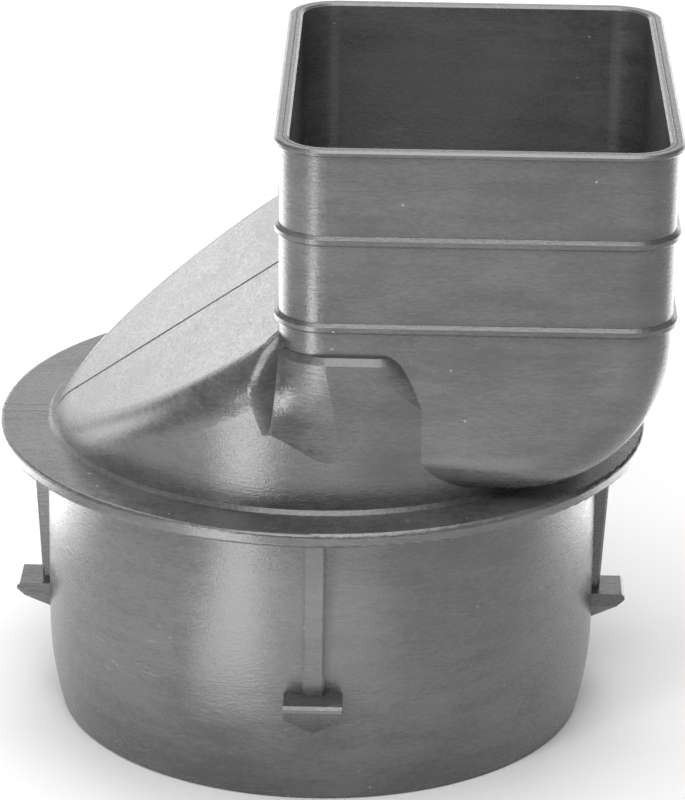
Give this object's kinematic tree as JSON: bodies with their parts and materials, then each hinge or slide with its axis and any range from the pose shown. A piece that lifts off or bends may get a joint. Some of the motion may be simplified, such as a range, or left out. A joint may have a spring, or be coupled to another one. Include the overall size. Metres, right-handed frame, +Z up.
{
  "type": "downspout adapter",
  "caption": "Moulded plastic adapter that joins a rectangular downspout to a round drain pipe, with an offset rectangular socket, a sloped hood, a flange and a round barbed spigot.",
  "frame": {"origin": "centre of the round spigot's lower end, which is the plane that the part stands on", "axes": "+Z up along the spigot's axis, +X from the spigot's axis towards the offset socket, +Y along the socket's long side; y = 0 is the plane of symmetry"},
  "size_m": [0.1198, 0.117, 0.119],
  "materials": {
    "polyethylene": "satin"
  },
  "bodies": {
    "root": {"adapter_body": "polyethylene"}
  },
  "joints": []
}
